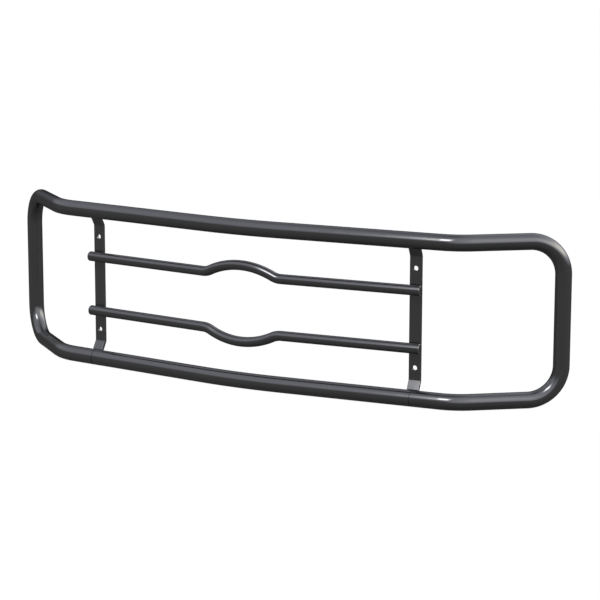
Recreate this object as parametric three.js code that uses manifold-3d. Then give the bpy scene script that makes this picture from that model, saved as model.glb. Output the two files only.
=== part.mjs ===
// Front grille guard for a van or light truck: a closed hoop of bent steel tube, two humped crossbars
// that clear a round badge, and two flat-bar uprights that carry the bolt holes.
// Millimetres, +Z up, the front of the guard faces -Y. The guard stands on its lower rail at z = 0.
import * as THREE from 'three';
import * as BufferGeometryUtils from 'three/addons/utils/BufferGeometryUtils.js';
import Module from 'manifold-3d';

const wasm = await Module();
wasm.setup();

const { degToRad } = THREE.MathUtils;

// ---------------------------------------------------------------- driving dimensions

const GAP = 0.3;                    // clearance between pieces that touch
const CHORD_ERROR = 0.5;            // how far a faceted bend may stray from its true arc
const MERGE_DISTANCE = 1e-4;        // corners nearer than this are one corner

const HOOP = {
  radius: 25.4,                     // 2 in tube
  wall: 2.1,
  sides: 16,
  height: 486,                      // between the centrelines of the top and the lower rail
  sweep: degToRad(5.46),            // each half of a rail slopes back from the centre
  halfRail: 717.5,                  // from the centre corner to the end corner of the rail's route
  centreBend: 1500,                 // radii of the bends, on the centreline
  endBend: 168,
  cornerBend: 104,
  endSweep: degToRad(38.8),         // the end legs slope back further
  endLeg: 329.3,                    // from the end corner to the vertical end tube
};

const BAR = {
  radius: 15.875,                   // 1 1/4 in tube
  wall: 1.65,
  sides: 12,
  height: 89.5,                     // above and below the middle of the hoop
  endStation: 599,                  // the bars end here, measured along half a rail
  humpSlope: degToRad(24),
  humpHalfBase: 127,
  flankBend: 64,
  crestBend: 260,
};

const UPRIGHT = {
  station: 579,                     // centreline, measured along half a rail
  width: 38.1,                      // 1 1/2 x 3/8 in flat bar
  thickness: 9.525,
  setback: 23.4,                    // front face behind the hoop's centreline
  footAngle: degToRad(29),          // the ends lean forward and point at the tube's centre
  footBend: 14,
  holeRadius: 7.95,                 // 5/8 in holes
  holeSpacing: 307,
  holeSides: 16,
  drillOvershoot: 10,               // past each face, so that the hole is cut clean through
};

const JOINT = {
  rootGap: 2.4,                     // between the two tube ends
  sleeveWall: 3,
  sleeveLength: 80,
};

const CAP = {
  flange: 3.5,                      // thickness outside the tube's end
  edgeRadius: 2.2,
  edgeSteps: 3,
  plugLength: 10,
};

const WELD = {
  radius: 1.6,
  length: 34,
  taper: 2.4,                       // each end swells to the full radius over this
  noseLength: 0.48,                 // and starts with a blunt nose
  noseRadius: 0.96,
  sides: 8,
};

const COLOURS = {
  tube: { color: 0x35373a, roughness: 0.42, metalness: 0.35 },
  bar: { color: 0x37393c, roughness: 0.42, metalness: 0.35 },
  flat: { color: 0x303235, roughness: 0.5, metalness: 0.3 },
  cap: { color: 0x2d2f31, roughness: 0.5, metalness: 0.3 },
  weld: { color: 0x2a2c2e, roughness: 0.55, metalness: 0.3 },
  inner: { color: 0x77797c, roughness: 0.6, metalness: 0.8 },
};

// ---------------------------------------------------------------- worked out from them

const UP = new THREE.Vector3(0, 0, 1);
const DOWN = new THREE.Vector3(0, 0, -1);

const apexSetback = HOOP.centreBend * (1 / Math.cos(HOOP.sweep) - 1);
const foremost = apexSetback - HOOP.radius;
const rearmost = HOOP.halfRail * Math.sin(HOOP.sweep) + HOOP.endLeg * Math.sin(HOOP.endSweep) + HOOP.radius;
const barSetback = UPRIGHT.setback - GAP - BAR.radius;
const halfHeight = HOOP.height / 2;
const barPlanRadius = HOOP.centreBend - barSetback;

// ---------------------------------------------------------------- routes of bent bars and tubes

function heading(angle) {
  return new THREE.Vector3(Math.cos(angle), Math.sin(angle), 0);
}

// The length that a bend takes up on each side of its corner.
function tangentLength(radius, angle) {
  return radius * Math.tan(Math.abs(angle) / 2);
}

// Follows a bending schedule from a start point. A move is { run } for a straight length or
// { turn, radius, axis } for a bend. It returns the cross-sections' points and directions.
function followMoves(start, direction, moves) {
  const point = start.clone();
  const tangent = direction.clone();
  const sections = [{ point: point.clone(), tangent: tangent.clone() }];
  for (const move of moves) {
    if (move.run !== undefined) {
      point.addScaledVector(tangent, move.run);
      sections.push({ point: point.clone(), tangent: tangent.clone() });
      continue;
    }
    const stepLimit = 2 * Math.acos(1 - CHORD_ERROR / move.radius);
    const steps = Math.ceil(Math.abs(move.turn) / stepLimit);
    const inward = move.axis.clone().cross(tangent).multiplyScalar(Math.sign(move.turn));
    const centre = point.clone().addScaledVector(inward, move.radius);
    for (let i = 0; i < steps; i++) {
      point.sub(centre).applyAxisAngle(move.axis, move.turn / steps).add(centre);
      tangent.applyAxisAngle(move.axis, move.turn / steps);
      sections.push({ point: point.clone(), tangent: tangent.clone() });
    }
  }
  return sections;
}

// A curve whose samples are exactly the cross-sections of a bending schedule.
class SectionPath extends THREE.Curve {
  constructor(sections) {
    super();
    this.sections = sections;
  }

  sectionAt(t) {
    return this.sections[Math.round(t * (this.sections.length - 1))];
  }

  getPointAt(t) {
    return this.sectionAt(t).point.clone();
  }

  getTangentAt(t) {
    return this.sectionAt(t).tangent.clone();
  }
}

function circlePoints(radius, sides) {
  const points = [];
  for (let i = 0; i < sides; i++) {
    const angle = (i / sides) * 2 * Math.PI;
    points.push(new THREE.Vector2(radius * Math.cos(angle), radius * Math.sin(angle)));
  }
  return points;
}

function tubeGeometry({ radius, wall, sides }, sections) {
  const section = new THREE.Shape(circlePoints(radius, sides));
  section.holes.push(new THREE.Path(circlePoints(radius - wall, sides)));
  const extrudePath = new SectionPath(sections);
  return new THREE.ExtrudeGeometry(section, { steps: sections.length - 1, extrudePath });
}

// ---------------------------------------------------------------- the hoop

// A point on a rail's straight half, `along` it from the centre corner. side is -1 left, 1 right.
function railPoint(side, along, z) {
  return new THREE.Vector3(side * along * Math.cos(HOOP.sweep), along * Math.sin(HOOP.sweep), z);
}

// One mandrel-bent tube: it starts at the left joint of the lower rail, climbs round the left end,
// crosses as the top rail and comes down round the right end to the right joint.
function hoopSections() {
  const { sweep, endSweep, halfRail, endLeg, centreBend, endBend, cornerBend, height } = HOOP;
  const endTurn = endSweep - sweep;
  const endTangent = tangentLength(endBend, endTurn);
  const jointRun = halfRail - UPRIGHT.station - JOINT.rootGap / 2 - endTangent;
  const legRun = endLeg - endTangent - tangentLength(cornerBend, Math.PI / 2);
  const uprightRun = height - 2 * cornerBend;
  const railRun = halfRail - endTangent - tangentLength(centreBend, 2 * sweep);
  const leftCorner = { turn: Math.PI / 2, radius: cornerBend, axis: heading(Math.PI - endSweep).cross(UP) };
  const rightCorner = { turn: Math.PI / 2, radius: cornerBend, axis: heading(endSweep).cross(DOWN) };
  const start = railPoint(-1, UPRIGHT.station + JOINT.rootGap / 2, -halfHeight);
  return followMoves(start, heading(Math.PI - sweep), [
    { run: jointRun },
    { turn: -endTurn, radius: endBend, axis: UP },
    { run: legRun },
    leftCorner,
    { run: uprightRun },
    leftCorner,
    { run: legRun },
    { turn: endTurn, radius: endBend, axis: UP },
    { run: railRun },
    { turn: 2 * sweep, radius: centreBend, axis: UP },
    { run: railRun },
    { turn: endTurn, radius: endBend, axis: UP },
    { run: legRun },
    rightCorner,
    { run: uprightRun },
    rightCorner,
    { run: legRun },
    { turn: -endTurn, radius: endBend, axis: UP },
    { run: jointRun },
  ]);
}

function lowerRailSections() {
  const { sweep, centreBend } = HOOP;
  const end = UPRIGHT.station - JOINT.rootGap / 2;
  const run = end - tangentLength(centreBend, 2 * sweep);
  return followMoves(railPoint(-1, end, -halfHeight), heading(-sweep), [
    { run },
    { turn: 2 * sweep, radius: centreBend, axis: UP },
    { run },
  ]);
}

// ---------------------------------------------------------------- the crossbars

// Wraps a straight route round the rails' plan, `barSetback` behind their centreline. The route's x
// becomes the length along that plan, counted from its middle.
function layOnPlan({ point, tangent }) {
  const halfArc = barPlanRadius * HOOP.sweep;
  const onArc = THREE.MathUtils.clamp(point.x, -halfArc, halfArc);
  const angle = onArc / barPlanRadius;
  const along = heading(angle);
  const behind = new THREE.Vector3(-along.y, along.x, 0);
  const placed = new THREE.Vector3(0, apexSetback + HOOP.centreBend, point.z);
  placed.addScaledVector(behind, -barPlanRadius).addScaledVector(along, point.x - onArc);
  const direction = along.multiplyScalar(tangent.x).setZ(tangent.z);
  return { point: placed, tangent: direction.normalize() };
}

// humpSide is 1 where the hump rises and -1 where it dips.
function crossbarSections(z, humpSide) {
  const { endStation, humpSlope, humpHalfBase, flankBend, crestBend } = BAR;
  const { centreBend, sweep } = HOOP;
  const halfLength = endStation - tangentLength(centreBend, 2 * sweep) + barPlanRadius * sweep;
  const flankTangent = tangentLength(flankBend, humpSlope);
  const crestTangent = tangentLength(crestBend, 2 * humpSlope);
  const slopeRun = humpHalfBase / Math.cos(humpSlope) - flankTangent - crestTangent;
  const endRun = halfLength - humpHalfBase - flankTangent;
  const axis = new THREE.Vector3(0, -humpSide, 0);
  const straight = followMoves(new THREE.Vector3(-halfLength, 0, z), new THREE.Vector3(1, 0, 0), [
    { run: endRun },
    { turn: humpSlope, radius: flankBend, axis },
    { run: slopeRun },
    { turn: -2 * humpSlope, radius: crestBend, axis },
    { run: slopeRun },
    { turn: humpSlope, radius: flankBend, axis },
    { run: endRun },
  ]);
  return straight.map(layOnPlan);
}

// A plug cap with a rounded rim, its axis along X and its flange towards +X, its inner face at x = 0.
function capGeometry() {
  const plugRadius = BAR.radius - BAR.wall - GAP;
  const { flange, edgeRadius, edgeSteps, plugLength } = CAP;
  const profile = [
    new THREE.Vector2(0, -plugLength),
    new THREE.Vector2(plugRadius, -plugLength),
    new THREE.Vector2(plugRadius, 0),
    new THREE.Vector2(BAR.radius, 0),
  ];
  for (let i = 0; i <= edgeSteps; i++) {
    const angle = (i / edgeSteps) * (Math.PI / 2);
    const r = BAR.radius - edgeRadius + edgeRadius * Math.cos(angle);
    profile.push(new THREE.Vector2(r, flange - edgeRadius + edgeRadius * Math.sin(angle)));
  }
  profile.push(new THREE.Vector2(0, flange));
  return new THREE.LatheGeometry(profile, BAR.sides).rotateZ(-Math.PI / 2);
}

// ---------------------------------------------------------------- the uprights

// The edges of the flat bar seen from its side, with x as the distance behind the hoop's centreline.
function uprightProfile() {
  const { thickness, setback, footAngle, footBend } = UPRIGHT;
  const middle = setback + thickness / 2;
  const footReach = Math.hypot(middle, middle / Math.tan(footAngle));
  const foldHeight = halfHeight - middle / Math.tan(footAngle);
  const foldTangent = tangentLength(footBend, footAngle);
  const footEnd = HOOP.radius + GAP;
  const footRun = footReach - footEnd - foldTangent;
  const direction = new THREE.Vector3(Math.sin(footAngle), 0, Math.cos(footAngle));
  const start = direction.clone().multiplyScalar(footEnd).addScaledVector(DOWN, halfHeight);
  const fold = { turn: footAngle, radius: footBend, axis: new THREE.Vector3(0, -1, 0) };
  const sections = followMoves(start, direction, [
    { run: footRun },
    fold,
    { run: 2 * (foldHeight - foldTangent) },
    fold,
    { run: footRun },
  ]);
  const edge = (offset) => sections.map(({ point, tangent }) => (
    new THREE.Vector2(point.x + offset * tangent.z, point.z - offset * tangent.x)
  ));
  return [...edge(thickness / 2), ...edge(-thickness / 2).reverse()];
}

function solidFrom(geometry) {
  const bare = geometry.clone();
  bare.deleteAttribute('normal');
  bare.deleteAttribute('uv');
  const merged = BufferGeometryUtils.mergeVertices(bare, MERGE_DISTANCE);
  const mesh = new wasm.Mesh({
    numProp: 3,
    vertProperties: merged.attributes.position.array,
    triVerts: new Uint32Array(merged.index.array),
  });
  return new wasm.Manifold(mesh);
}

function geometryFrom(solid) {
  const mesh = solid.getMesh();
  const geometry = new THREE.BufferGeometry();
  geometry.setAttribute('position', new THREE.BufferAttribute(new Float32Array(mesh.vertProperties), 3));
  geometry.setIndex(new THREE.BufferAttribute(new Uint32Array(mesh.triVerts), 1));
  geometry.computeVertexNormals();
  return geometry;
}

// Local axes: x along the rail with the bar's middle at 0, y towards the vehicle, z up.
function uprightGeometry() {
  const { width, thickness, setback, holeRadius, holeSpacing, holeSides, drillOvershoot } = UPRIGHT;
  const drillLength = thickness + 2 * drillOvershoot;
  const shape = new THREE.Shape(uprightProfile());
  const flat = new THREE.ExtrudeGeometry(shape, { depth: width, bevelEnabled: false, steps: 1 });
  flat.translate(0, 0, -width / 2);
  const axes = new THREE.Matrix4().makeBasis(
    new THREE.Vector3(0, 1, 0),
    new THREE.Vector3(0, 0, 1),
    new THREE.Vector3(1, 0, 0),
  );
  let solid = solidFrom(flat.applyMatrix4(axes));
  for (const side of [-1, 1]) {
    const drill = new THREE.CylinderGeometry(holeRadius, holeRadius, drillLength, holeSides);
    drill.translate(0, setback + thickness / 2, (side * holeSpacing) / 2);
    solid = solid.subtract(solidFrom(drill));
  }
  return geometryFrom(solid);
}

// ---------------------------------------------------------------- joints and welds

// A ring of rectangular section about the X axis.
function ringGeometry(outerRadius, innerRadius, length) {
  const profile = [
    new THREE.Vector2(innerRadius, -length / 2),
    new THREE.Vector2(outerRadius, -length / 2),
    new THREE.Vector2(outerRadius, length / 2),
    new THREE.Vector2(innerRadius, length / 2),
    new THREE.Vector2(innerRadius, -length / 2),
  ];
  return new THREE.LatheGeometry(profile, HOOP.sides).rotateZ(-Math.PI / 2);
}

// A weld bead along X, tapered at both ends.
function beadGeometry() {
  const { radius, length, taper, noseLength, noseRadius, sides } = WELD;
  const half = length / 2;
  const profile = [
    new THREE.Vector2(0, -half),
    new THREE.Vector2(noseRadius, -half + noseLength),
    new THREE.Vector2(radius, -half + taper),
    new THREE.Vector2(radius, half - taper),
    new THREE.Vector2(noseRadius, half - noseLength),
    new THREE.Vector2(0, half),
  ];
  return new THREE.LatheGeometry(profile, sides).rotateZ(-Math.PI / 2);
}

// Where a bead sits between a tube and the flat face beside it, `faceDistance` from the tube's centre:
// [distance towards the face, distance along the face].
function beadSeat(tubeRadius, faceDistance) {
  const across = faceDistance - GAP - WELD.radius;
  const reach = tubeRadius + GAP + WELD.radius;
  return [across, Math.sqrt(reach * reach - across * across)];
}

// ---------------------------------------------------------------- assembly

const guard = new THREE.Group();
guard.name = 'grille_guard';
guard.position.set(0, -(foremost + rearmost) / 2, halfHeight + HOOP.radius);

function addPiece(parent, name, geometry, finish, position = [0, 0, 0]) {
  const mesh = new THREE.Mesh(geometry, new THREE.MeshStandardMaterial(COLOURS[finish]));
  mesh.name = name;
  mesh.position.set(...position);
  parent.add(mesh);
  return mesh;
}

addPiece(guard, 'upper_hoop', tubeGeometry(HOOP, hoopSections()), 'tube');
addPiece(guard, 'lower_rail', tubeGeometry(HOOP, lowerRailSections()), 'tube');
addPiece(guard, 'upper_crossbar', tubeGeometry(BAR, crossbarSections(BAR.height, 1)), 'bar');
addPiece(guard, 'lower_crossbar', tubeGeometry(BAR, crossbarSections(-BAR.height, -1)), 'bar');

function addJoint(group, name) {
  const innerRadius = HOOP.radius - HOOP.wall;
  const sleeveRadius = innerRadius - GAP;
  const weldWidth = JOINT.rootGap - 2 * GAP;
  const place = [0, 0, -halfHeight];
  const sleeve = ringGeometry(sleeveRadius, sleeveRadius - JOINT.sleeveWall, JOINT.sleeveLength);
  addPiece(group, `${name}_joint_sleeve`, sleeve, 'inner', place);
  addPiece(group, `${name}_joint_weld`, ringGeometry(HOOP.radius, innerRadius, weldWidth), 'weld', place);
}

function addBarEnd(group, name, level, z, side) {
  const cap = addPiece(group, `${name}_${level}_bar_cap`, capGeometry(), 'cap');
  cap.position.set(side * (BAR.endStation + GAP - UPRIGHT.station), barSetback, z);
  cap.rotation.z = side > 0 ? 0 : Math.PI;
  const [across, along] = beadSeat(BAR.radius, UPRIGHT.setback - barSetback);
  for (const [place, sign] of [['top', 1], ['bottom', -1]]) {
    const position = [0, barSetback + across, z + sign * along];
    addPiece(group, `${name}_${level}_bar_weld_${place}`, beadGeometry(), 'weld', position);
  }
}

function addFootWelds(group, name) {
  const { footAngle, thickness } = UPRIGHT;
  const [across, along] = beadSeat(HOOP.radius, thickness / 2 + 2 * (GAP + WELD.radius));
  for (const [end, up] of [['top', 1], ['bottom', -1]]) {
    for (const [place, sign] of [['front', -1], ['rear', 1]]) {
      // The foot runs along `inward` from the tube's centre; its faces lie across it.
      const inward = new THREE.Vector2(Math.sin(footAngle), -up * Math.cos(footAngle));
      const outward = new THREE.Vector2(Math.cos(footAngle), up * Math.sin(footAngle));
      const seat = inward.multiplyScalar(along).addScaledVector(outward, sign * across);
      const position = [0, seat.x, up * halfHeight + seat.y];
      addPiece(group, `${name}_${end}_foot_weld_${place}`, beadGeometry(), 'weld', position);
    }
  }
}

for (const [name, side] of [['left', -1], ['right', 1]]) {
  const station = new THREE.Group();
  station.position.copy(railPoint(side, UPRIGHT.station, 0));
  station.rotation.z = side * HOOP.sweep;
  guard.add(station);
  addPiece(station, `${name}_upright`, uprightGeometry(), 'flat');
  addJoint(station, name);
  addBarEnd(station, name, 'upper', BAR.height, side);
  addBarEnd(station, name, 'lower', -BAR.height, side);
  addFootWelds(station, name);
}

export default guard;
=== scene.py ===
# Looks of the front grille guard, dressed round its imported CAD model.
# Metres, +Z up, the front of the guard faces -Y. Each fine piece repeats the bending schedule of the
# solid that it stands for, with round sections, softened edges and laid weld beads.
from collections import namedtuple
from math import acos, asin, ceil, copysign, cos, hypot, pi, radians, sin, sqrt, tan

import bmesh
import bpy
from mathutils import Matrix, Quaternion, Vector


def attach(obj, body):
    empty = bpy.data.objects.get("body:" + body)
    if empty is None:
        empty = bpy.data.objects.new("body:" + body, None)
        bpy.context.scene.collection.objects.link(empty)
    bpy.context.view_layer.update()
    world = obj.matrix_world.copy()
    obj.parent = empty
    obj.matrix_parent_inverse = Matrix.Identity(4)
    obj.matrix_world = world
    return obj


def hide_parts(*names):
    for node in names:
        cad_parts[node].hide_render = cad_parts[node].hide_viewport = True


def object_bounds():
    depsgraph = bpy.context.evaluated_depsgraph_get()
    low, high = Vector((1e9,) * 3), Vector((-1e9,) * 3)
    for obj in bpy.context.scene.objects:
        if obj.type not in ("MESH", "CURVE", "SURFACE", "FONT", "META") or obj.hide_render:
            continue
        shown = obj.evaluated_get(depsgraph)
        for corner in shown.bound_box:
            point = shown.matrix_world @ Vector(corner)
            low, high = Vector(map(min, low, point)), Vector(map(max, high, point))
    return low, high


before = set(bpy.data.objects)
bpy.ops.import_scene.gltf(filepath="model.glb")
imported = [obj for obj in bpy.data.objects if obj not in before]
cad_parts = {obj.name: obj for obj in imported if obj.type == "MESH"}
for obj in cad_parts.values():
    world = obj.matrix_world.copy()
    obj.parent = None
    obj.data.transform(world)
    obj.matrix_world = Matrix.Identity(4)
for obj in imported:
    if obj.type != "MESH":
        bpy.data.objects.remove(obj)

CAD_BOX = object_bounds()

MM = 0.001
X_AXIS = Vector((1, 0, 0))
Z_AXIS = Vector((0, 0, 1))

# ---------------------------------------------------------------- driving dimensions

GAP = 0.3 * MM                       # clearance that the CAD solids keep
CHORD_ERROR = 0.03 * MM              # how far a drawn bend may stray from its true arc
END_CHAMFER = 0.25 * MM              # broken edges where a tube or a flat bar was cut
WEAR_MARGIN = 1.5 * MM               # the uprights' rubbed edges fade out over this
SHARP_ANGLE = radians(30)            # edges that fold more than this are shaded as sharp

HOOP_RADIUS = 25.4 * MM
HOOP_WALL = 2.1 * MM
HOOP_SIDES = 64
HOOP_HEIGHT = 486 * MM               # between the centrelines of the top and the lower rail
SWEEP = radians(5.46)                # each half of a rail slopes back from the centre
HALF_RAIL = 717.5 * MM               # from the centre corner to the corner of the end bend
CENTRE_BEND = 1500 * MM              # the bends' radii, at the centreline
END_BEND = 168 * MM
CORNER_BEND = 104 * MM
END_SWEEP = radians(38.8)            # of the legs beyond the end bends
END_LEG = 329.3 * MM

BAR_RADIUS = 15.875 * MM
BAR_WALL = 1.65 * MM
BAR_SIDES = 48
BAR_HEIGHT = 89.5 * MM               # above and below the middle of the hoop
BAR_END = 599 * MM                   # measured along half a rail
HUMP_SLOPE = radians(24)
HUMP_HALF_BASE = 127 * MM            # from the middle to the corner where the hump starts
FLANK_BEND = 64 * MM
CREST_BEND = 260 * MM

STATION = 579 * MM                   # the uprights' centreline, measured along half a rail
PLATE_WIDTH = 38.1 * MM
PLATE_THICKNESS = 9.525 * MM
PLATE_SETBACK = 23.4 * MM            # its front face, behind the hoop's centreline
PLATE_CORNER = 0.5 * MM              # the rolled edge of flat bar
FOOT_ANGLE = radians(29)
FOOT_BEND = 14 * MM
HOLE_RADIUS = 7.95 * MM
HOLE_SPACING = 307 * MM
HOLE_CHAMFER = 0.25 * MM
HOLE_SIDES = 64

JOINT_GAP = 2.4 * MM                 # between the two tube ends of the hoop
JOINT_SUNK = 1.9 * MM                # the joint's weld lies this much below the tube's skin
JOINT_RIPPLE = 0.18 * MM
JOINT_RIPPLE_COUNT = 72

CAP_FLANGE = 3.5 * MM
CAP_EDGE = 2.2 * MM                  # radius of its rounded rim
CAP_PLUG = 10 * MM
CAP_CROWN = 0.35 * MM

WELD_LENGTH = 34 * MM
WELD_PITCH = 2.1 * MM                # between two ripples of a bead
WELD_RIPPLE = 0.28 * MM
WELD_CROWN = 0.1 * MM
WELD_END_POWER = 10                  # the higher, the later a bead starts to taper
WELD_END_ROUNDING = 0.25             # the lower, the blunter its ends
WELD_END_SIZE = 0.12                 # the share of its section that is left at its ends
FOOT_WELD_LEG = 2.3 * MM
FOOT_WELD_SUNK = 1.2 * MM            # its root lies this deep in both of the joined parts
BAR_WELD_DEPTH = 4.5 * MM            # its root's distance from the line where bar and plate are closest
BAR_WELD_ON_BAR = 10.2 * MM
BAR_WELD_ON_PLATE = 13.6 * MM

# ---------------------------------------------------------------- worked out from them

HALF_HEIGHT = HOOP_HEIGHT / 2
APEX_SETBACK = CENTRE_BEND * (1 / cos(SWEEP) - 1)
BAR_SETBACK = PLATE_SETBACK - GAP - BAR_RADIUS
BAR_PLAN_RADIUS = CENTRE_BEND - BAR_SETBACK

# The middle of the hoop, at its centre corner: the CAD box gives its height and its depth.
ORIGIN = Vector((
    (CAD_BOX[0].x + CAD_BOX[1].x) / 2,
    CAD_BOX[0].y + HOOP_RADIUS - APEX_SETBACK,
    (CAD_BOX[0].z + CAD_BOX[1].z) / 2,
))

# ---------------------------------------------------------------- bending schedules

# A cross-section of a bar: its centre, the direction of the bar and a direction across it.
Section = namedtuple("Section", "point tangent across")


def heading(angle):
    return Vector((cos(angle), sin(angle), 0))


def tangent_length(radius, angle):
    """The length that a bend takes up on each side of its corner."""
    return radius * tan(abs(angle) / 2)


def run(length):
    return ("run", length, None, None)


def turn(angle, radius, axis):
    return ("turn", angle, radius, axis)


def follow(start, direction, across, moves):
    """The cross-sections of a bar bent by a list of runs and turns."""
    point = start.copy()
    tangent = direction.normalized()
    across = across.normalized()
    sections = [Section(point.copy(), tangent.copy(), across.copy())]
    for kind, amount, radius, axis in moves:
        if kind == "run":
            point = point + tangent * amount
            sections.append(Section(point.copy(), tangent.copy(), across.copy()))
            continue
        steps = ceil(abs(amount) / (2 * acos(1 - CHORD_ERROR / radius)))
        step = Quaternion(axis, amount / steps)
        centre = point + axis.cross(tangent) * copysign(radius, amount)
        for _ in range(steps):
            point = centre + step @ (point - centre)
            tangent = step @ tangent
            across = step @ across
            sections.append(Section(point.copy(), tangent.copy(), across.copy()))
    return sections


def rail_point(side, along, z):
    """A point on a rail's straight half, `along` it from the centre corner. side is -1 left, 1 right."""
    return ORIGIN + Vector((side * along * cos(SWEEP), along * sin(SWEEP), z))


def hoop_sections():
    """From the left joint of the lower rail, up round the left end, over the top and down on the right."""
    end_turn = END_SWEEP - SWEEP
    end_tangent = tangent_length(END_BEND, end_turn)
    joint_run = HALF_RAIL - STATION - JOINT_GAP / 2 - end_tangent
    leg_run = END_LEG - end_tangent - tangent_length(CORNER_BEND, pi / 2)
    upright_run = HOOP_HEIGHT - 2 * CORNER_BEND
    rail_run = HALF_RAIL - end_tangent - tangent_length(CENTRE_BEND, 2 * SWEEP)
    left_corner = turn(pi / 2, CORNER_BEND, heading(pi - END_SWEEP).cross(Z_AXIS))
    right_corner = turn(pi / 2, CORNER_BEND, heading(END_SWEEP).cross(-Z_AXIS))
    inward_bend = turn(-end_turn, END_BEND, Z_AXIS)
    outward_bend = turn(end_turn, END_BEND, Z_AXIS)
    start = rail_point(-1, STATION + JOINT_GAP / 2, -HALF_HEIGHT)
    return follow(start, heading(pi - SWEEP), Z_AXIS, [
        run(joint_run),
        inward_bend,
        run(leg_run),
        left_corner,
        run(upright_run),
        left_corner,
        run(leg_run),
        outward_bend,
        run(rail_run),
        turn(2 * SWEEP, CENTRE_BEND, Z_AXIS),
        run(rail_run),
        outward_bend,
        run(leg_run),
        right_corner,
        run(upright_run),
        right_corner,
        run(leg_run),
        inward_bend,
        run(joint_run),
    ])


def lower_rail_sections():
    end = STATION - JOINT_GAP / 2
    length = end - tangent_length(CENTRE_BEND, 2 * SWEEP)
    start = rail_point(-1, end, -HALF_HEIGHT)
    return follow(start, heading(-SWEEP), Z_AXIS, [
        run(length),
        turn(2 * SWEEP, CENTRE_BEND, Z_AXIS),
        run(length),
    ])


def lay_on_plan(section):
    """Wraps a section of a straight route round the rails' plan, just behind their centreline."""
    half_arc = BAR_PLAN_RADIUS * SWEEP
    on_arc = max(-half_arc, min(half_arc, section.point.x))
    along = heading(on_arc / BAR_PLAN_RADIUS)
    behind = Vector((-along.y, along.x, 0))
    centre = ORIGIN + Vector((0, APEX_SETBACK + CENTRE_BEND, section.point.z))
    point = centre - behind * BAR_PLAN_RADIUS + along * (section.point.x - on_arc)
    tangent = along * section.tangent.x + Z_AXIS * section.tangent.z
    return Section(point, tangent.normalized(), behind)


def crossbar_sections(z, hump_side):
    """hump_side is 1 where the hump rises and -1 where it dips."""
    half_length = BAR_END - tangent_length(CENTRE_BEND, 2 * SWEEP) + BAR_PLAN_RADIUS * SWEEP
    flank_tangent = tangent_length(FLANK_BEND, HUMP_SLOPE)
    crest_tangent = tangent_length(CREST_BEND, 2 * HUMP_SLOPE)
    slope_run = HUMP_HALF_BASE / cos(HUMP_SLOPE) - flank_tangent - crest_tangent
    end_run = half_length - HUMP_HALF_BASE - flank_tangent
    axis = Vector((0, -hump_side, 0))
    flank = turn(HUMP_SLOPE, FLANK_BEND, axis)
    straight = follow(Vector((-half_length, 0, z)), X_AXIS, Z_AXIS, [
        run(end_run),
        flank,
        run(slope_run),
        turn(-2 * HUMP_SLOPE, CREST_BEND, axis),
        run(slope_run),
        flank,
        run(end_run),
    ])
    return [lay_on_plan(section) for section in split_runs(straight)]


def split_runs(sections):
    """Adds sections along the straight stretches, so that they can follow the plan's wide arc."""
    longest = 2 * sqrt(2 * CENTRE_BEND * CHORD_ERROR)
    fine = [sections[0]]
    for before, after in zip(sections, sections[1:]):
        parts = ceil((after.point - before.point).length / longest)
        for part in range(1, parts):
            fine.append(before._replace(point=before.point.lerp(after.point, part / parts)))
        fine.append(after)
    return fine


# ---------------------------------------------------------------- mesh work

def place(section, across, beyond):
    """A point in a section's plane."""
    return section.point + section.across * across + section.tangent.cross(section.across) * beyond


def ring(section, outline, shift=0.0):
    """The outline drawn in a section's plane, moved `shift` along the bar."""
    moved = section._replace(point=section.point + section.tangent * shift)
    return [place(moved, across, beyond) for across, beyond in outline]


def circle(radius, sides):
    return [(radius * cos(2 * pi * i / sides), radius * sin(2 * pi * i / sides)) for i in range(sides)]


def rounded_rectangle(width, height, corner, steps, margin):
    """Has rounded corners, and a point `margin` away from each rounding on both of its flats."""
    outline = []
    for quarter in range(4):
        x = (width / 2 - corner) * (1 if quarter in (0, 3) else -1)
        y = (height / 2 - corner) * (1 if quarter < 2 else -1)
        start = quarter * pi / 2
        before = (sin(start) * margin, -cos(start) * margin)
        after = (-cos(start) * margin, -sin(start) * margin)
        rounding = []
        for step in range(steps + 1):
            angle = start + step / steps * pi / 2
            rounding.append((x + corner * cos(angle), y + corner * sin(angle)))
        first, last = rounding[0], rounding[-1]
        outline.append((first[0] + before[0], first[1] + before[1]))
        outline += rounding
        outline.append((last[0] + after[0], last[1] + after[1]))
    return outline


def add_object(name, data):
    """Puts a mesh, a light or a camera into the scene."""
    added = bpy.data.objects.new(name, data)
    bpy.context.scene.collection.objects.link(added)
    return added


def loft(name, rings, closed=False, sharp=SHARP_ANGLE, wear=None):
    """Joins rings of equal length into a closed skin. Open ends are filled with one face.

    wear says for each point of each ring how far it is rubbed, from 0 to 1."""
    bm = bmesh.new()
    layer = bm.verts.layers.float.new("wear")
    loops = [[bm.verts.new(point) for point in points] for points in rings]
    if wear:
        for loop, levels in zip(loops, wear):
            for vertex, level in zip(loop, levels):
                vertex[layer] = level
    pairs = list(zip(loops, loops[1:]))
    if closed:
        pairs.append((loops[-1], loops[0]))
    for low, high in pairs:
        for i in range(len(low)):
            j = (i + 1) % len(low)
            bm.faces.new((low[i], low[j], high[j], high[i]))
    if not closed:
        bm.faces.new(loops[0][::-1])
        bm.faces.new(loops[-1])
    bmesh.ops.recalc_face_normals(bm, faces=bm.faces)
    mesh = bpy.data.meshes.new(name)
    bm.to_mesh(mesh)
    bm.free()
    mesh.shade_smooth()
    mesh.set_sharp_from_angle(angle=sharp)
    return add_object(name, mesh)


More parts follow.
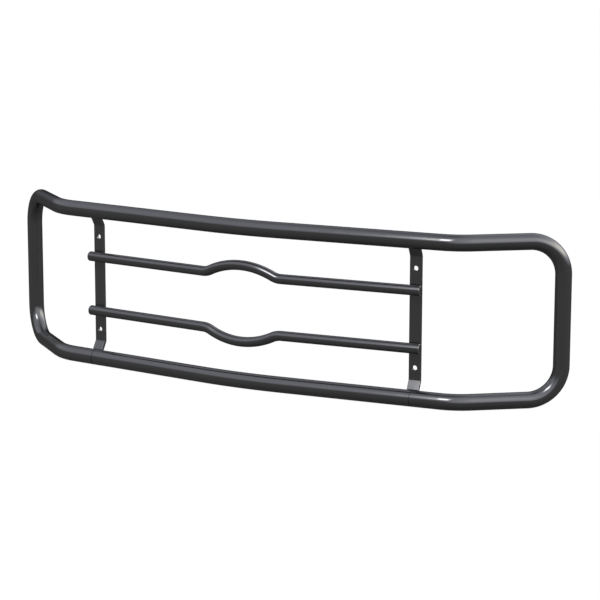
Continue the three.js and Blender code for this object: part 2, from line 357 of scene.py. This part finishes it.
def tube(name, sections, radius, wall, sides):
    """A hollow tube along its sections, with the outer edges of its cut ends broken."""
    outer = circle(radius, sides)
    broken = circle(radius - END_CHAMFER, sides)
    inner = circle(radius - wall, sides)
    first, last = sections[0], sections[-1]
    rings = [ring(first, broken), ring(first, outer, END_CHAMFER)]
    rings += [ring(section, outer) for section in sections[1:-1]]
    rings += [ring(last, outer, -END_CHAMFER), ring(last, broken)]
    rings += [ring(section, inner) for section in reversed(sections)]
    return loft(name, rings, closed=True)


def turned(name, profile, sides, place_at, worn=()):
    """A body of revolution about X from a list of (x, radius), moved by a matrix.

    worn lists the places in the profile that are rubbed."""
    rings = []
    for x, radius in profile:
        rings.append([place_at @ Vector((x, across, beyond)) for across, beyond in circle(radius, sides)])
    wear = [[float(number in worn)] * sides for number in range(len(profile))]
    return loft(name, rings, wear=wear)


def weighted_normals(piece):
    """Keeps the shading of wide faces flat beside narrow rounded edges."""
    modifier = piece.modifiers.new("weighted_normals", "WEIGHTED_NORMAL")
    modifier.keep_sharp = True


def apply_modifiers(piece):
    depsgraph = bpy.context.evaluated_depsgraph_get()
    made = bpy.data.meshes.new_from_object(piece.evaluated_get(depsgraph))
    old = piece.data
    piece.modifiers.clear()
    piece.data = made
    bpy.data.meshes.remove(old)
    made.name = piece.name


# ---------------------------------------------------------------- pieces

def coat(piece, material):
    piece.data.materials.clear()
    piece.data.materials.append(material)


def dress(piece, node, material):
    """Coats a piece and lets it stand for the CAD node of that name."""
    coat(piece, material)
    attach(piece, "root")
    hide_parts(node)
    return piece


def station_matrix(side):
    """Local axes at an upright: x along the rail, y towards the vehicle, z up."""
    return Matrix.Translation(rail_point(side, STATION, 0)) @ Matrix.Rotation(side * SWEEP, 4, "Z")


def upright_sections(matrix):
    """The flat bar's route, from its lower foot to its upper foot."""
    middle = PLATE_SETBACK + PLATE_THICKNESS / 2
    foot_reach = hypot(middle, middle / tan(FOOT_ANGLE))
    fold_height = HALF_HEIGHT - middle / tan(FOOT_ANGLE)
    fold_tangent = tangent_length(FOOT_BEND, FOOT_ANGLE)
    foot_end = HOOP_RADIUS + GAP
    foot_run = foot_reach - foot_end - fold_tangent
    lean = Vector((0, sin(FOOT_ANGLE), cos(FOOT_ANGLE)))
    start = lean * foot_end - Z_AXIS * HALF_HEIGHT
    fold = turn(FOOT_ANGLE, FOOT_BEND, X_AXIS)
    sections = follow(start, lean, X_AXIS, [
        run(foot_run),
        fold,
        run(2 * (fold_height - fold_tangent)),
        fold,
        run(foot_run),
    ])
    rotation = matrix.to_3x3()
    return [
        Section(matrix @ section.point, rotation @ section.tangent, rotation @ section.across)
        for section in sections
    ]


def hole_drill(matrix, z):
    """A cutter that leaves a round hole with both rims chamfered."""
    front = PLATE_SETBACK
    rear = PLATE_SETBACK + PLATE_THICKNESS
    flare = HOLE_RADIUS + 2 * HOLE_CHAMFER
    profile = [
        (front - HOLE_CHAMFER, flare),
        (front + HOLE_CHAMFER, HOLE_RADIUS),
        (rear - HOLE_CHAMFER, HOLE_RADIUS),
        (rear + HOLE_CHAMFER, flare),
    ]
    turn_to_y = Matrix.Rotation(pi / 2, 4, "Z")
    at = matrix @ Matrix.Translation(Vector((0, 0, z))) @ turn_to_y
    return turned("drill", profile, HOLE_SIDES, at)


def make_upright(name, matrix, material):
    sections = upright_sections(matrix)
    corner_steps = 4
    full = rounded_rectangle(PLATE_WIDTH, PLATE_THICKNESS, PLATE_CORNER, corner_steps, WEAR_MARGIN)
    cut = rounded_rectangle(
        PLATE_WIDTH - END_CHAMFER,
        PLATE_THICKNESS - END_CHAMFER,
        PLATE_CORNER - END_CHAMFER / 2,
        corner_steps,
        WEAR_MARGIN,
    )
    first, last = sections[0], sections[-1]
    rings = [ring(first, cut), ring(first, full, END_CHAMFER), ring(first, full, WEAR_MARGIN)]
    rings += [ring(section, full) for section in sections[1:-1]]
    rings += [ring(last, full, -WEAR_MARGIN), ring(last, full, -END_CHAMFER), ring(last, cut)]
    # Along the bar, each rounding is rubbed between its first and its last point.
    along_edges = [0, 0, *[1] * (corner_steps - 1), 0, 0] * 4
    all_round = [1] * len(along_edges)
    wear = [all_round, all_round, *[along_edges] * len(sections), all_round, all_round]
    piece = loft(f"{name}_upright_bar", rings, wear=wear)
    for z in (-HOLE_SPACING / 2, HOLE_SPACING / 2):
        drill = hole_drill(matrix, z)
        modifier = piece.modifiers.new("hole", "BOOLEAN")
        modifier.operation = "DIFFERENCE"
        modifier.solver = "EXACT"
        modifier.object = drill
        apply_modifiers(piece)
        bpy.data.objects.remove(drill)
    piece.data.shade_smooth()
    piece.data.set_sharp_from_angle(angle=SHARP_ANGLE)
    weighted_normals(piece)
    apply_modifiers(piece)
    return dress(piece, f"{name}_upright", material)


def make_cap(name, level, matrix, z, side, material):
    """A plug cap: a stem inside the tube, and a flange with a rounded rim and a slightly crowned face."""
    stem = BAR_RADIUS - BAR_WALL - GAP
    profile = [(-CAP_PLUG, stem - END_CHAMFER), (END_CHAMFER - CAP_PLUG, stem), (0, stem), (0, BAR_RADIUS)]
    rim_start = len(profile)
    rim_steps = 8
    for step in range(rim_steps + 1):
        angle = step / rim_steps * pi / 2
        x = CAP_FLANGE - CAP_CROWN - CAP_EDGE + CAP_EDGE * sin(angle)
        profile.append((x, BAR_RADIUS - CAP_EDGE + CAP_EDGE * cos(angle)))
    crown_steps = 6
    for step in range(1, crown_steps):
        out = 1 - step / crown_steps
        profile.append((CAP_FLANGE - CAP_CROWN * out * out, (BAR_RADIUS - CAP_EDGE) * out))
    at = matrix @ Matrix.Translation(Vector((side * (BAR_END + GAP - STATION), BAR_SETBACK, z)))
    at = at @ Matrix.Rotation(0 if side > 0 else pi, 4, "Z")
    rim = range(rim_start + 1, rim_start + 1 + rim_steps)
    piece = turned(f"{name}_{level}_cap", profile, BAR_SIDES, at, worn=rim)
    return dress(piece, f"{name}_{level}_bar_cap", material)


def bulge(t):
    """Rises from 0 at both ends to 1 in the middle, for t from 0 to 1."""
    return 4 * t * (1 - t)


def bead(name, root, toe_a, toe_b, matrix):
    """A laid fillet weld along local X. The three corners of its section are (y, z) points."""
    chord = toe_b - toe_a
    outward = Vector((chord.y, -chord.x)).normalized()
    if outward.dot((toe_a + toe_b) / 2 - root) < 0:
        outward = -outward
    face_steps = 8
    per_ripple = 6
    count = int(WELD_LENGTH / WELD_PITCH) * per_ripple
    rings = []
    for i in range(count + 1):
        u = 2 * i / count - 1
        swell = max(WELD_END_SIZE, (1 - abs(u) ** WELD_END_POWER) ** WELD_END_ROUNDING)
        ripple = WELD_RIPPLE * abs(sin(pi * i / per_ripple))
        points = [Vector((u * WELD_LENGTH / 2, root.x, root.y))]
        for step in range(face_steps + 1):
            t = step / face_steps
            on_face = toe_a.lerp(toe_b, t) + outward * (WELD_CROWN + ripple) * bulge(t)
            on_face = root.lerp(on_face, swell)
            crescent = WELD_PITCH / 2 * bulge(t) * swell
            points.append(Vector((u * (WELD_LENGTH / 2 - WELD_PITCH / 2) + crescent, on_face.x, on_face.y)))
        rings.append([matrix @ point for point in points])
    return loft(name, rings, sharp=radians(70))


def make_foot_weld(name, end, up, face, sign, matrix, material):
    """The bead in the corner between a foot's face and the hoop. sign is -1 at the front face."""
    inward = Vector((sin(FOOT_ANGLE), -up * cos(FOOT_ANGLE)))
    outward = Vector((cos(FOOT_ANGLE), up * sin(FOOT_ANGLE))) * sign
    centre = Vector((0, up * HALF_HEIGHT))
    half = PLATE_THICKNESS / 2
    corner = sqrt(HOOP_RADIUS ** 2 - half ** 2)
    root = centre + inward * (corner - FOOT_WELD_SUNK) + outward * (half - FOOT_WELD_SUNK)
    toe_plate = centre + inward * (corner + FOOT_WELD_LEG) + outward * (half - GAP)
    angle = asin(half / HOOP_RADIUS) + FOOT_WELD_LEG / HOOP_RADIUS
    toe_tube = centre + (inward * cos(angle) + outward * sin(angle)) * (HOOP_RADIUS - GAP)
    piece = bead(f"{name}_{end}_{face}_foot_bead", root, toe_plate, toe_tube, matrix)
    return dress(piece, f"{name}_{end}_foot_weld_{face}", material)


def make_bar_weld(name, level, z, edge, sign, matrix, material):
    """The bead that fills the crevice between a crossbar and the upright behind it."""
    face = PLATE_SETBACK + GAP
    angle = asin(BAR_WELD_ON_BAR / BAR_RADIUS)
    on_bar = BAR_RADIUS - GAP
    root = Vector((PLATE_SETBACK - GAP, z + sign * BAR_WELD_DEPTH))
    toe_bar = Vector((BAR_SETBACK + on_bar * cos(angle), z + sign * on_bar * sin(angle)))
    toe_plate = Vector((face, z + sign * BAR_WELD_ON_PLATE))
    piece = bead(f"{name}_{level}_{edge}_bar_bead", root, toe_bar, toe_plate, matrix)
    return dress(piece, f"{name}_{level}_bar_weld_{edge}", material)


def make_joint_weld(name, matrix, material):
    """The rippled ring between the two tube ends, a little below their skin."""
    at = matrix @ Matrix.Translation(-Z_AXIS * HALF_HEIGHT)
    half_width = JOINT_GAP / 2 - GAP
    inner = HOOP_RADIUS - HOOP_WALL
    outer = HOOP_RADIUS - JOINT_SUNK
    across_steps = 4
    per_ripple = 4
    sides = JOINT_RIPPLE_COUNT * per_ripple
    rings = []
    for i in range(sides):
        angle = 2 * pi * i / sides
        ripple = JOINT_RIPPLE * abs(sin(pi * i / per_ripple))
        profile = [(-half_width, inner)]
        for step in range(across_steps + 1):
            t = step / across_steps
            profile.append(((2 * t - 1) * half_width, outer + ripple * bulge(t)))
        profile.append((half_width, inner))
        rings.append([at @ Vector((x, r * cos(angle), r * sin(angle))) for x, r in profile])
    piece = loft(f"{name}_joint_bead", rings, closed=True, sharp=radians(60))
    return dress(piece, f"{name}_joint_weld", material)


# ---------------------------------------------------------------- materials

TUBE_TONES = ((0.0061, 0.0061, 0.0059), (0.0079, 0.0077, 0.0076))
UPRIGHT_TONES = ((0.0065, 0.0065, 0.0061), (0.0085, 0.0083, 0.0079))
CAP_TONES = ((0.0059, 0.0059, 0.0058), (0.0077, 0.0076, 0.0076))
# The welds' tones are darker than the tubes': painted shade for the creases that the beads fill.
WELD_SHADED_TONES = ((0.0050, 0.0050, 0.0049), (0.0072, 0.0070, 0.0068))
COATING_IOR = 1.79                   # above a powder's 1.5, so that the studio can be dimmer

NOISE_SPREAD = (0.35, 0.65)          # where most values of a noise lie
CLOUD_SCALE = 9                      # the scales are features to the metre
FLAKE_SCALE = 2600
FLAKE_SPREAD = (0.6, 0.8)
FLAKE_SHARE = 0.5
FLAKE_PALENESS = 1.9                 # against the light tone
PEEL_SCALE = 600
PEEL_DEPTH = 0.002 * MM
FINE_PEEL_SCALE = 1700
FINE_PEEL_DEPTH = 0.0005 * MM
RIPPLE_SCALE = 700
WELD_ROUGH_DEPTH = 0.05 * MM
GLOSS_SCALE = 26
GLOSS_WANDER = (-0.02, 0.03)         # added to the roughness
RUB_SCALE = 420
RUB_SPREAD = (0.3, 0.62)
RUB_SHARE = 0.8
RUB_ROUGHNESS = 0.14                 # added where it is rubbed
RUBBED_COLOUR = (0.05, 0.0493, 0.0485)

STEEL_TONE = (0.42, 0.42, 0.43)
STEEL_ROUGHNESS = (0.32, 0.5)
OXIDE_TONE = (0.24, 0.22, 0.21)
OXIDE_SCALE = 60
OXIDE_SPREAD = (0.4, 0.7)
OXIDE_ROUGHNESS_SPREAD = (0.3, 0.7)
GRAIN_SCALE = 1500
GRAIN_DEPTH = 0.02 * MM


class Nodes:
    """Adds nodes to a tree and joins them."""

    def __init__(self, tree):
        self.tree = tree

    def add(self, kind, **inputs):
        node = self.tree.nodes.new(kind)
        for socket, value in inputs.items():
            self.feed(node, socket.replace("_", " "), value)
        return node

    def feed(self, node, socket, value):
        if isinstance(value, bpy.types.NodeSocket):
            self.tree.links.new(value, node.inputs[socket])
        else:
            node.inputs[socket].default_value = value

    def feed_colour(self, node, socket, value):
        """Colours and grey values can both be fed to a colour socket."""
        self.feed(node, socket, value if isinstance(value, bpy.types.NodeSocket) else (*value, 1))

    def combine(self, operation, first, second):
        """Maths with two values. A root and an absolute value only use the first one."""
        node = self.add("ShaderNodeMath")
        node.operation = operation
        self.feed(node, 0, first)
        self.feed(node, 1, second)
        return node.outputs["Value"]

    def combine_vectors(self, operation, first, second, output="Vector"):
        node = self.add("ShaderNodeVectorMath")
        node.operation = operation
        self.feed(node, 0, first)
        self.feed(node, 1, second)
        return node.outputs[output]

    def remap(self, value, low, high, to_low=0.0, to_high=1.0, smooth=False):
        """Moves the range low..high of a value to to_low..to_high."""
        node = self.add("ShaderNodeMapRange", Value=value, From_Min=low, From_Max=high)
        node.inputs["To Min"].default_value = to_low
        node.inputs["To Max"].default_value = to_high
        node.interpolation_type = "SMOOTHSTEP" if smooth else "LINEAR"
        return node.outputs["Result"]

    def mix(self, factor, first, second):
        node = self.add("ShaderNodeMix")
        node.data_type = "RGBA"
        self.feed(node, "Factor", factor)
        self.feed_colour(node, 6, first)
        self.feed_colour(node, 7, second)
        return node.outputs[2]


class Finish(Nodes):
    """A material on its way to being made, in the metres of its object."""

    def __init__(self, name):
        self.material = bpy.data.materials.new(name)
        self.material.use_nodes = True
        super().__init__(self.material.node_tree)
        self.shader = self.tree.nodes["Principled BSDF"]
        self.place = self.add("ShaderNodeTexCoord").outputs["Object"]

    def noise(self, scale, detail=2.0):
        """Noise with `scale` features to the metre."""
        return self.add("ShaderNodeTexNoise", Vector=self.place, Scale=scale, Detail=detail).outputs["Fac"]

    def bump(self, height, distance, normal=None):
        node = self.add("ShaderNodeBump", Height=height, Distance=distance, Strength=1.0)
        if normal is not None:
            self.feed(node, "Normal", normal)
        return node.outputs["Normal"]


def powder_coat(name, dark, light, roughness, peel=1.0, ripples=0.0, specular=0.5):
    """Baked powder: soft orange peel, a faint flake, cloudy depth, a wandering gloss and rubbed edges."""
    nodes = Finish(name)
    tint = nodes.mix(nodes.remap(nodes.noise(CLOUD_SCALE, detail=3), *NOISE_SPREAD), dark, light)
    flake = nodes.remap(nodes.noise(FLAKE_SCALE, detail=1), *FLAKE_SPREAD, 0, FLAKE_SHARE)
    tint = nodes.mix(flake, tint, tuple(FLAKE_PALENESS * channel for channel in light))
    edge = nodes.add("ShaderNodeAttribute")
    edge.attribute_name = "wear"
    broken_up = nodes.combine("MULTIPLY", edge.outputs["Fac"], nodes.noise(RUB_SCALE, detail=4))
    rubbed = nodes.remap(broken_up, *RUB_SPREAD, smooth=True)
    tint = nodes.mix(nodes.combine("MULTIPLY", rubbed, RUB_SHARE), tint, RUBBED_COLOUR)
    nodes.feed(nodes.shader, "Base Color", tint)
    glossiest, dullest = (roughness + wander for wander in GLOSS_WANDER)
    gloss = nodes.remap(nodes.noise(GLOSS_SCALE, detail=3), *NOISE_SPREAD, glossiest, dullest)
    gloss = nodes.combine("ADD", gloss, nodes.combine("MULTIPLY", rubbed, RUB_ROUGHNESS))
    nodes.feed(nodes.shader, "Roughness", gloss)
    nodes.shader.inputs["IOR"].default_value = COATING_IOR
    nodes.shader.inputs["Specular IOR Level"].default_value = specular
    relief = nodes.bump(nodes.noise(PEEL_SCALE, detail=1.5), PEEL_DEPTH * peel)
    relief = nodes.bump(nodes.noise(FINE_PEEL_SCALE, detail=1), FINE_PEEL_DEPTH * peel, relief)
    if ripples:
        relief = nodes.bump(nodes.noise(RIPPLE_SCALE, detail=3), ripples, relief)
    nodes.feed(nodes.shader, "Normal", relief)
    return nodes.material


def hoop_coating():
    return powder_coat("hoop_coating", *TUBE_TONES, roughness=0.09)


def crossbar_coating():
    return powder_coat("crossbar_coating", *TUBE_TONES, roughness=0.1)


def upright_coating():
    return powder_coat("upright_coating", *UPRIGHT_TONES, roughness=0.14, peel=2.2)


def cap_coating():
    return powder_coat("cap_coating", *CAP_TONES, roughness=0.22, peel=0.8)


def weld_coating():
    """Darker and less reflective than the other coats: painted shade, which makes the creases round the
    beads look dark, as where the feet meet the hoop.
    """
    return powder_coat("weld_coating", *WELD_SHADED_TONES, roughness=0.3, ripples=WELD_ROUGH_DEPTH, specular=0.25)


def sleeve_steel():
    """Bare drawn steel with a fine grain and a cloudy oxide."""
    nodes = Finish("sleeve_steel")
    cloud = nodes.noise(OXIDE_SCALE, detail=4)
    tint = nodes.mix(nodes.remap(cloud, *OXIDE_SPREAD), STEEL_TONE, OXIDE_TONE)
    nodes.feed(nodes.shader, "Base Color", tint)
    nodes.shader.inputs["Metallic"].default_value = 1.0
    nodes.feed(nodes.shader, "Roughness", nodes.remap(cloud, *OXIDE_ROUGHNESS_SPREAD, *STEEL_ROUGHNESS))
    nodes.feed(nodes.shader, "Normal", nodes.bump(nodes.noise(GRAIN_SCALE), GRAIN_DEPTH))
    return nodes.material


# ---------------------------------------------------------------- the guard

def build_guard():
    hoop = hoop_coating()
    bars = crossbar_coating()
    plate = upright_coating()
    caps = cap_coating()
    # The weld coat is darker and less reflective than the rest: painted shade for the creases round the
    # beads.
    welds_with_painted_shade = weld_coating()
    steel = sleeve_steel()
    tube_size = (HOOP_RADIUS, HOOP_WALL, HOOP_SIDES)
    dress(tube("upper_hoop_tube", hoop_sections(), *tube_size), "upper_hoop", hoop)
    dress(tube("lower_rail_tube", lower_rail_sections(), *tube_size), "lower_rail", hoop)
    for level, sign in (("upper", 1), ("lower", -1)):
        sections = crossbar_sections(sign * BAR_HEIGHT, sign)
        piece = tube(f"{level}_crossbar_tube", sections, BAR_RADIUS, BAR_WALL, BAR_SIDES)
        dress(piece, f"{level}_crossbar", bars)
    for name, side in (("left", -1), ("right", 1)):
        matrix = station_matrix(side)
        make_upright(name, matrix, plate)
        make_joint_weld(name, matrix, welds_with_painted_shade)
        coat(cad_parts[f"{name}_joint_sleeve"], steel)
        for level, sign in (("upper", 1), ("lower", -1)):
            z = sign * BAR_HEIGHT
            make_cap(name, level, matrix, z, side, caps)
            for edge, edge_sign in (("top", 1), ("bottom", -1)):
                make_bar_weld(name, level, z, edge, edge_sign, matrix, welds_with_painted_shade)
        for end, up in (("top", 1), ("bottom", -1)):
            for face, face_sign in (("front", -1), ("rear", 1)):
                make_foot_weld(name, end, up, face, face_sign, matrix, welds_with_painted_shade)


# ---------------------------------------------------------------- the studio

# Angles here are in degrees. Azimuth 0 is the front, and 90 the guard's right-hand end in the photo.
CAMERA_AZIMUTH = 29.144
CAMERA_ELEVATION = 11.236
CAMERA_ROLL = 0.123
CAMERA_DISTANCE = 6.754
CAMERA_LENS = 132.39                 # the lens and the sensor are in millimetres
SENSOR_WIDTH = 36
AIM_ACROSS = 0.2199                  # the point that it looks at, from the middle of the hoop
AIM_UP = 0.0353

FLOOR_SIZE = 60.0
FLOOR_GLOW = 0.975                   # keeps the floor as white as the backdrop, with faint shadows
FLOOR_ROUGHNESS = 0.9
FLOOR_ALBEDO = 0.02
FLOOR_MOTTLE = 1.1                   # how much paler it is in places
FLOOR_MOTTLE_SCALE = 3

DOME_COLOUR = (0.975, 1.0, 1.13)
DOME_AZIMUTH = 50.0                  # its brightest side
DOME_EDGE = (-1.0, 6.0)              # elevations between which the soft dome begins
SCREEN_AZIMUTH = -55.0               # a low screen on the left raises that edge there
SCREEN_TOP = (8.0, 28.0)             # elevations between which it ends
SCREEN_WIDTH = (50.0, 75.0)          # and the angles to each side of its azimuth
BEHIND = (8.0, 66.0)                 # the darkness behind the guard fades out at these angles to its middle
RAMP_SCALE = 5.0

# Radiance against the sine of the elevation.
DOME_RAMP = (
    (0.05, 2.6), (0.2, 3.3), (0.5, 3.6), (0.77, 3.65),
    (0.87, 3.45), (0.94, 3.05), (0.98, 2.7), (1, 2.2),
)
GROUND_RAMP = ((-1, 0.28), (-0.87, 0.4), (-0.64, 0.55), (-0.35, 0.65), (-0.15, 0.75))
# The dome's fade, from the side opposite its brightest one (-1) to that side (1), and the ground's,
# from the side opposite the camera (-1) to the camera's side (1).
DOME_FADE = (
    (-1, 0.3), (-0.94, 0.34), (-0.77, 0.52), (-0.5, 0.63), (-0.17, 0.7),
    (0.17, 0.77), (0.5, 0.83), (0.77, 0.88), (1, 1),
)
GROUND_FADE = (
    (-1, 0.05), (-0.95, 0.08), (-0.75, 0.2), (-0.5, 0.38),
    (-0.17, 0.75), (0.2, 0.95), (0.5, 1),
)

# A soft light in a direction: its full width and height, the part of them that is fully lit, the
# radiance that it adds and its colour.
SoftBox = namedtuple("SoftBox", "azimuth elevation width height core radiance colour")
WARM_BOX = SoftBox(114, 21, 116, 50, 0.15, 5.5, (1.0, 0.9, 0.74))
WARM_HALO = SoftBox(95, 30, 150, 72, 0.2, 2.4, (1.0, 0.97, 0.9))
WARM_EDGE = (6.0, 20.0)              # elevations between which both of them begin
BOX_SIDE = 0.1                       # a box fades in over this cosine, from square to its direction

# The key window, close in front and above, soft at its edges: nested panels that add up.
KEY_CENTRE = Vector((0, -5.6, 5.4))
KEY_WIDTH = 2.9
KEY_HEIGHT = 3.2
KEY_PANELS = ((0.7, 10), (0.88, 7), (1.05, 4.5), (1.22, 2), (1.4, 1))   # share of the size, radiance
KEY_SPACING = 0.03
KEY_AWAY = -1                        # it is on the camera's side

# The radiances above are right for a coating of PLAIN_IOR. For COATING_IOR they are dimmed by the ratio
# of the two reflectances, worked out at these stops from towards the camera (-1) to away from it (1).
PLAIN_IOR = 1.5
DIM_STOPS = (-1, -0.5, 0, 0.35, 0.6, 0.77, 0.87, 0.94, 0.98, 1)


def direction(azimuth, elevation):
    """A unit vector towards a bearing."""
    a, e = radians(azimuth), radians(elevation)
    return Vector((sin(a) * cos(e), -cos(a) * cos(e), sin(e)))


def make_camera():
    camera = add_object("camera", bpy.data.cameras.new("camera"))
    camera.data.sensor_width = SENSOR_WIDTH
    camera.data.lens = CAMERA_LENS
    back = direction(CAMERA_AZIMUTH, CAMERA_ELEVATION)
    level_right = direction(CAMERA_AZIMUTH + 90, 0)
    level_up = back.cross(level_right)
    roll = radians(CAMERA_ROLL)
    right = level_right * cos(roll) + level_up * sin(roll)
    up = level_up * cos(roll) - level_right * sin(roll)
    location = ORIGIN + X_AXIS * AIM_ACROSS + Z_AXIS * AIM_UP + back * CAMERA_DISTANCE
    axes = Matrix((right, up, back)).transposed()
    camera.matrix_world = Matrix.Translation(location) @ axes.to_4x4()
    bpy.context.scene.camera = camera


def make_floor():
    """A pale floor under the guard, kept out of the reflections in its undersides."""
    half = FLOOR_SIZE / 2
    corners = [(-half, -half), (half, -half), (half, half), (-half, half)]
    bm = bmesh.new()
    bm.faces.new([bm.verts.new((x, y, CAD_BOX[0].z)) for x, y in corners])
    mesh = bpy.data.meshes.new("floor")
    bm.to_mesh(mesh)
    bm.free()
    floor = add_object("floor", mesh)
    nodes = Finish("pale_floor")
    pale = (FLOOR_ALBEDO,) * 3
    paler = (FLOOR_ALBEDO * FLOOR_MOTTLE,) * 3
    mottle = nodes.mix(nodes.noise(FLOOR_MOTTLE_SCALE, detail=4), pale, paler)
    nodes.feed(nodes.shader, "Base Color", mottle)
    nodes.shader.inputs["Roughness"].default_value = FLOOR_ROUGHNESS
    nodes.shader.inputs["Specular IOR Level"].default_value = 0.0
    nodes.shader.inputs["Emission Color"].default_value = (1, 1, 1, 1)
    nodes.shader.inputs["Emission Strength"].default_value = FLOOR_GLOW
    coat(floor, nodes.material)
    floor.visible_glossy = False
    floor.visible_diffuse = False


def ramp(nodes, value, stops):
    """Straight lines between stops, each a place from -1 to 1 and a value up to RAMP_SCALE."""
    node = nodes.add("ShaderNodeValToRGB", Fac=nodes.remap(value, -1, 1))
    elements = node.color_ramp.elements
    while len(elements) > 1:
        elements.remove(elements[-1])
    for number, (place_at, amount) in enumerate(stops):
        position = (place_at + 1) / 2
        element = elements[0] if number == 0 else elements.new(position)
        element.position = position
        element.color = (*(amount / RAMP_SCALE,) * 3, 1)
    return nodes.combine("MULTIPLY", node.outputs["Color"], RAMP_SCALE)


def along(nodes, bearing, axis):
    """How far a bearing points along an axis, from -1 to 1."""
    return nodes.combine_vectors("DOT_PRODUCT", bearing, axis, "Value")


def tinted(nodes, value, colour):
    node = nodes.add("ShaderNodeVectorMath")
    node.operation = "SCALE"
    nodes.feed(node, 0, colour)
    nodes.feed(node, "Scale", value)
    return node.outputs["Vector"]


def sine(angle):
    return sin(radians(angle))


def cosine(angle):
    return cos(radians(angle))


def rise(nodes, height, edge):
    """Goes softly from 0 to 1 between two elevations. height is the sine of the elevation."""
    low, high = edge
    return nodes.remap(height, sine(low), sine(high), smooth=True)


def fade_out(nodes, value, inner, outer):
    """1 while the value lies within `inner` of zero, 0 beyond `outer`."""
    return nodes.remap(nodes.combine("ABSOLUTE", value, 0), inner, outer, 1, 0, smooth=True)


def reflectance(ior, incidence):
    """Fresnel's share of the light that a coating reflects. incidence is the cosine to its normal."""
    inside = sqrt(1 - (1 - incidence * incidence) / (ior * ior))
    crosswise = (incidence - ior * inside) / (incidence + ior * inside)
    lengthwise = (ior * incidence - inside) / (ior * incidence + inside)
    return (crosswise * crosswise + lengthwise * lengthwise) / 2


def studio_dimming(away):
    """What COATING_IOR allows, for light whose reflection reaches the camera."""
    incidence = sqrt((1 - away) / 2)
    return reflectance(PLAIN_IOR, incidence) / reflectance(COATING_IOR, incidence)


def soft_box(nodes, bearing, box, part):
    """The box's light in a bearing. part is the fraction of it that its surroundings let through."""
    centre = direction(box.azimuth, box.elevation)
    across = direction(box.azimuth + 90, 0)
    up = across.cross(centre) * -1
    shape = nodes.combine("MULTIPLY", part, nodes.remap(along(nodes, bearing, centre), 0, BOX_SIDE))
    for axis, size in ((across, box.width), (up, box.height)):
        offset = along(nodes, bearing, axis)
        within = fade_out(nodes, offset, sine(box.core * size / 2), sine(size / 2))
        shape = nodes.combine("MULTIPLY", shape, within)
    return tinted(nodes, nodes.combine("MULTIPLY", shape, box.radiance), box.colour)


def dome_light(nodes, bearing, height, lit_part):
    """The soft dome, fading away from its brightest side and in the darkness behind the guard."""
    level_squared = nodes.combine("SUBTRACT", 1, nodes.combine("MULTIPLY", height, height))
    level_part = nodes.combine("SQRT", level_squared, 0)
    brightward = nodes.combine("DIVIDE", along(nodes, bearing, direction(DOME_AZIMUTH, 0)), level_part)
    dome = nodes.combine("MULTIPLY", ramp(nodes, height, DOME_RAMP), ramp(nodes, brightward, DOME_FADE))
    return tinted(nodes, nodes.combine("MULTIPLY", dome, lit_part), DOME_COLOUR)


def ground_light(nodes, bearing, height):
    """The dark ground, fading away from the camera's side."""
    frontness = along(nodes, bearing, direction(CAMERA_AZIMUTH, 0))
    return nodes.combine("MULTIPLY", ramp(nodes, height, GROUND_RAMP), ramp(nodes, frontness, GROUND_FADE))


def dome_opening(nodes, bearing, height):
    """1 where the dome shows, and 0 where the ground or the low screen hides it."""
    under_top = nodes.combine("SUBTRACT", 1, rise(nodes, height, SCREEN_TOP))
    screen_side = along(nodes, bearing, direction(SCREEN_AZIMUTH, 0))
    full, none = SCREEN_WIDTH
    in_screen = nodes.remap(screen_side, cosine(none), cosine(full), smooth=True)
    screened = nodes.combine("MULTIPLY", under_top, in_screen)
    over_edge = rise(nodes, height, DOME_EDGE)
    return nodes.combine("MULTIPLY", over_edge, nodes.combine("SUBTRACT", 1, screened))


def make_sky():
    """A dome over dark ground, with warm soft boxes. Reflections see it, and the camera sees white."""
    world = bpy.data.worlds.new("studio")
    bpy.context.scene.world = world
    world.use_nodes = True
    world.node_tree.nodes.clear()
    nodes = Nodes(world.node_tree)
    bearing = nodes.add("ShaderNodeTexCoord").outputs["Generated"]
    height = along(nodes, bearing, Z_AXIS)
    away = along(nodes, bearing, -direction(CAMERA_AZIMUTH, CAMERA_ELEVATION))
    lit_part = nodes.remap(away, cosine(BEHIND[1]), cosine(BEHIND[0]), 1, 0, smooth=True)

    dome = dome_light(nodes, bearing, height, lit_part)
    ground = ground_light(nodes, bearing, height)
    light = nodes.mix(dome_opening(nodes, bearing, height), ground, dome)
    box_part = nodes.combine("MULTIPLY", rise(nodes, height, WARM_EDGE), lit_part)
    for box in (WARM_BOX, WARM_HALO):
        light = nodes.combine_vectors("ADD", light, soft_box(nodes, bearing, box, box_part))
    dimming = ramp(nodes, away, [(stop, studio_dimming(stop)) for stop in DIM_STOPS])
    light = tinted(nodes, dimming, light)

    lit = nodes.add("ShaderNodeBackground", Color=light)
    seen = nodes.add("ShaderNodeBackground", Color=(1, 1, 1, 1))
    is_camera = nodes.add("ShaderNodeLightPath").outputs["Is Camera Ray"]
    choose = nodes.add("ShaderNodeMixShader", Fac=is_camera)
    nodes.feed(choose, 1, lit.outputs["Background"])
    nodes.feed(choose, 2, seen.outputs["Background"])
    nodes.feed(nodes.add("ShaderNodeOutputWorld"), "Surface", choose.outputs["Shader"])


def make_key_window():
    towards = KEY_CENTRE.normalized()
    for number, (share, radiance) in enumerate(KEY_PANELS):
        light = bpy.data.lights.new("key_panel", "AREA")
        light.shape = "RECTANGLE"
        light.size = KEY_WIDTH * share
        light.size_y = KEY_HEIGHT * share
        light.energy = radiance * studio_dimming(KEY_AWAY) * pi * light.size * light.size_y
        lamp = add_object("key_panel", light)
        lamp.location = ORIGIN + KEY_CENTRE + towards * KEY_SPACING * number
        lamp.rotation_mode = "QUATERNION"
        lamp.rotation_quaternion = towards.to_track_quat("Z", "Y")
        lamp.visible_camera = False


def make_studio():
    bpy.context.scene.view_settings.view_transform = "Standard"
    make_camera()
    make_floor()
    make_sky()
    make_key_window()


make_studio()
build_guard()
